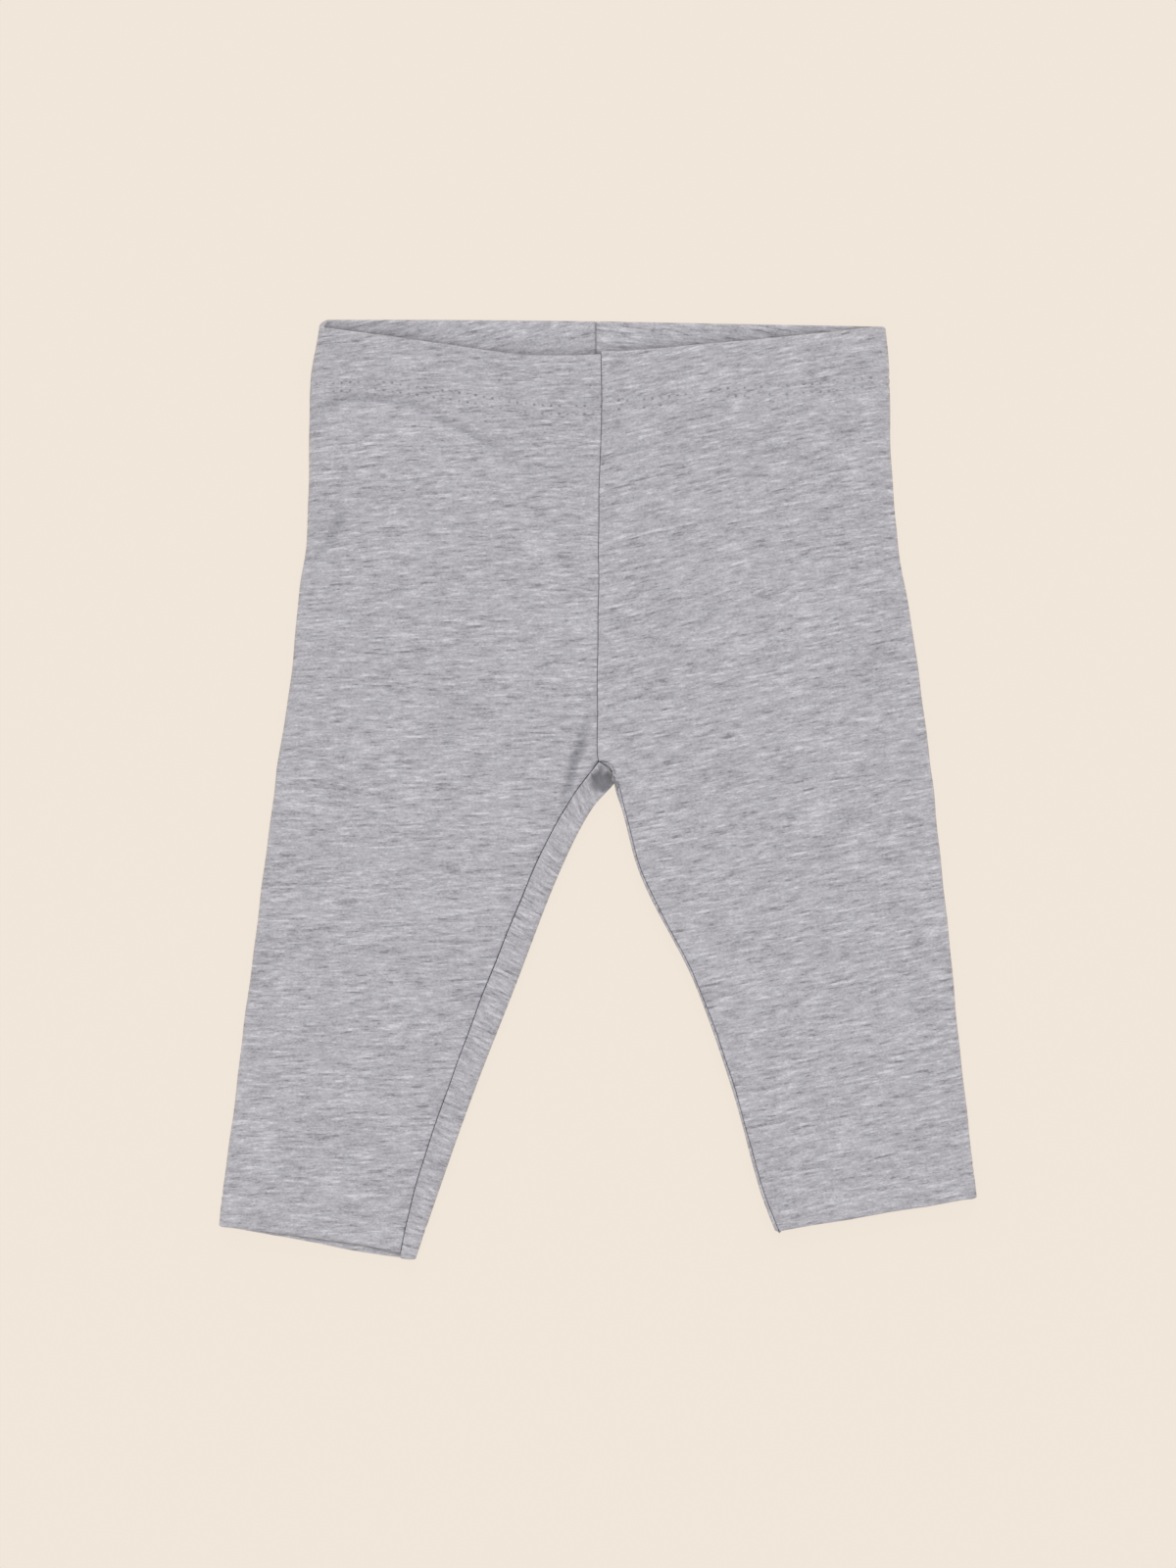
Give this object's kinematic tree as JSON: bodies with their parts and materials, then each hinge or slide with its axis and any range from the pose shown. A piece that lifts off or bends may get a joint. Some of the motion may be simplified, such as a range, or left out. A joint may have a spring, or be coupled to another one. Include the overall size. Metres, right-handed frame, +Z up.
{
  "type": "baby leggings laid flat",
  "caption": "Plain melange jersey baby leggings lying flat on their back, with an elastic waist casing and slim tapered legs.",
  "frame": {"origin": "middle of the garment's outline, on the surface that it lies on", "axes": "+Y towards the waist, +Z up out of the front of the garment, +X towards the wearer's left leg"},
  "size_m": [0.2788, 0.344, 0.0061],
  "materials": {
    "jersey": "brushed-look single jersey, light grey melange with short dark and pale streaks along the courses",
    "casing_jersey": "inside face of the same jersey, turned in over the elastic",
    "hem_jersey": "inside face of the same jersey, turned up at the foot",
    "thread": "matte grey sewing thread"
  },
  "bodies": {
    "root": {"leg_right": "jersey", "leg_left": "jersey", "waist_casing_right": "casing_jersey", "waist_casing_left": "casing_jersey", "hem_right": "hem_jersey", "hem_left": "hem_jersey"}
  },
  "joints": []
}
